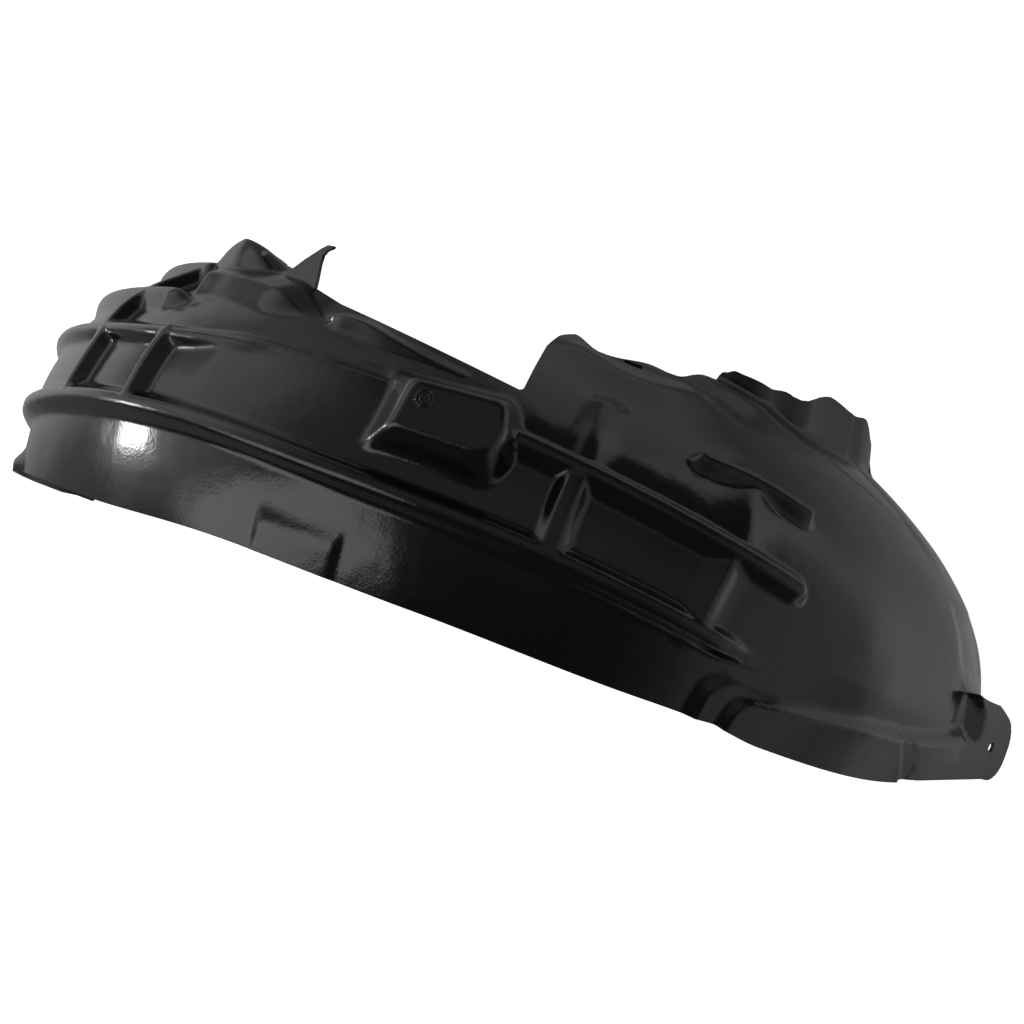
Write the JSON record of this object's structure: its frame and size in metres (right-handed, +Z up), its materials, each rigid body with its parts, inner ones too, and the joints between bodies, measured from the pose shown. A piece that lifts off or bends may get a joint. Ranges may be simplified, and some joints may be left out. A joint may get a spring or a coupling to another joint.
{
  "type": "wheel arch liner",
  "caption": "Black vacuum-formed wheel arch liner: a thin ribbed plastic arch that shields the fender and engine bay from the tyre, notched for the strut.",
  "frame": {"origin": "middle of the liner's own box, at the level of its two feet", "axes": "+X along the car to the front leg, +Y along the wheel's axle from the fender edge towards the engine, +Z up"},
  "size_m": [0.8206, 0.2702, 0.4895],
  "materials": {
    "black_hdpe": "black high-density polyethylene sheet, vacuum formed, semi-gloss"
  },
  "bodies": {
    "root": {"wheel_arch_liner": "black_hdpe"}
  },
  "joints": []
}
